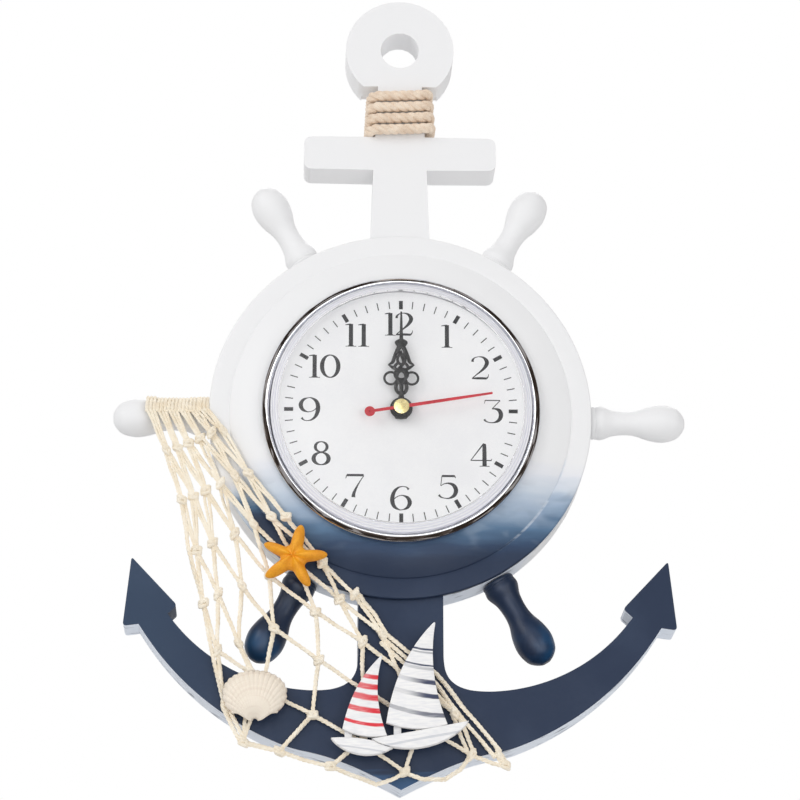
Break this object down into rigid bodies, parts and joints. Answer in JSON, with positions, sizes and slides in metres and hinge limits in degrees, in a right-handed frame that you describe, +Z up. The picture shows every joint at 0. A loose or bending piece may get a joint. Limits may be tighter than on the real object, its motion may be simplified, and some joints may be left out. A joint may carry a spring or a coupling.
{
  "type": "wall clock",
  "caption": "Anchor-shaped wall clock with a ship's wheel round its quartz insert, hung with a fishing net, a starfish, a shell and sailing boats.",
  "frame": {"origin": "the top of the eye's hole on the wall plane, where the clock hangs on its hook", "axes": "+Z up, the dial faces -Y, +X to the right as seen from the front; the board's back is at Y = 0"},
  "size_m": [0.2234, 0.0282, 0.3262],
  "materials": {
    "paint_white": "off-white paint that fades to blue, brushed by hand",
    "paint_navy": "glossy navy paint, teal-blue at the ends",
    "rope": "twisted natural rope",
    "net_cotton": "cream cotton cord",
    "starfish": "orange resin, pebbled",
    "shell": "cream and tan ribs, like a scallop",
    "boat_wood": "whitewashed, striped sails",
    "black_plastic": "fine moulded grain",
    "white_plastic": "smooth white moulding",
    "rubber": "matt",
    "chrome": "polished",
    "lens": "clear",
    "dial": "white, printed numerals",
    "hand_black": "satin black",
    "hand_red": "satin red",
    "brass": "plain",
    "steel": "plain",
    "copper": "enamelled copper wire",
    "circuit": "green solder mask",
    "battery": "bare printed sleeve"
  },
  "bodies": {
    "frame": {"anchor_board": "paint_white", "wheel_moulding": "paint_white", "handle_right": "paint_white", "handle_upper_right": "paint_white", "handle_upper_left": "paint_white", "handle_left": "paint_white", "handle_lower_left": "paint_navy", "handle_lower_right": "paint_navy", "rope_whipping": "rope", "net": "net_cotton", "net_head": "net_cotton", "starfish": "starfish", "scallop_shell": "shell", "small_sail": "boat_wood", "large_sail": "boat_wood", "small_hull": "boat_wood", "large_hull": "boat_wood", "small_mast": "boat_wood", "large_mast": "boat_wood", "insert_housing": "white_plastic", "insert_gasket": "rubber", "dial": "dial", "lens": "lens", "bezel": "chrome", "centre_nut": "brass", "movement_case": "black_plastic", "movement_cover": "black_plastic", "stator": "steel", "coil": "copper", "circuit_board": "circuit", "battery": "battery", "contact_positive": "steel", "contact_negative": "steel"},
    "seconds": {"second_hand": "hand_red", "hand_cap": "brass", "seconds_wheel": "brass"},
    "rotor": {"rotor": "steel"},
    "intermediate": {"intermediate_wheel": "brass"},
    "third": {"third_wheel": "brass"},
    "centre": {"centre_wheel": "brass"},
    "minutes": {"minute_hand": "hand_black", "minute_arbor": "steel"},
    "hours": {"hour_hand": "hand_black", "hour_wheel": "brass"},
    "minute_wheel": {"minute_wheel": "brass"},
    "setting": {"setting_knob": "black_plastic"}
  },
  "joints": [
    {"name": "seconds_turn", "type": "hinge", "parent": "frame", "child": "seconds", "pos_m": [0, -0.015, -0.1643], "axis": [0, 1, 0], "continuous": true},
    {"name": "rotor_turn", "type": "hinge", "parent": "frame", "child": "rotor", "pos_m": [-0.00113, -0.015, -0.14992], "axis": [0, 1, 0], "continuous": true},
    {"name": "intermediate_turn", "type": "hinge", "parent": "frame", "child": "intermediate", "pos_m": [-0.00318, -0.015, -0.15556], "axis": [0, 1, 0], "continuous": true},
    {"name": "third_turn", "type": "hinge", "parent": "frame", "child": "third", "pos_m": [0.0093, -0.015, -0.1643], "axis": [0, 1, 0], "continuous": true},
    {"name": "centre_turn", "type": "hinge", "parent": "frame", "child": "centre", "pos_m": [0, -0.015, -0.1643], "axis": [0, 1, 0], "continuous": true},
    {"name": "minutes_turn", "type": "hinge", "parent": "frame", "child": "minutes", "pos_m": [0, -0.015, -0.1643], "axis": [0, 1, 0], "continuous": true},
    {"name": "hours_turn", "type": "hinge", "parent": "frame", "child": "hours", "pos_m": [0, -0.015, -0.1643], "axis": [0, 1, 0], "continuous": true},
    {"name": "minute_wheel_turn", "type": "hinge", "parent": "frame", "child": "minute_wheel", "pos_m": [-0.007, -0.015, -0.1643], "axis": [0, 1, 0], "continuous": true},
    {"name": "setting_turn", "type": "hinge", "parent": "frame", "child": "setting", "pos_m": [-0.014, -0.015, -0.1643], "axis": [0, 1, 0], "continuous": true}
  ],
  "couplings": [
    {"joint": "intermediate_turn", "follows": "seconds_turn", "ratio": -6},
    {"joint": "rotor_turn", "follows": "seconds_turn", "ratio": 30},
    {"joint": "third_turn", "follows": "seconds_turn", "ratio": -0.125},
    {"joint": "centre_turn", "follows": "seconds_turn", "ratio": 0.016667},
    {"joint": "minute_wheel_turn", "follows": "minutes_turn", "ratio": -0.33333},
    {"joint": "hours_turn", "follows": "minutes_turn", "ratio": 0.083333},
    {"joint": "setting_turn", "follows": "minutes_turn", "ratio": 1}
  ]
}
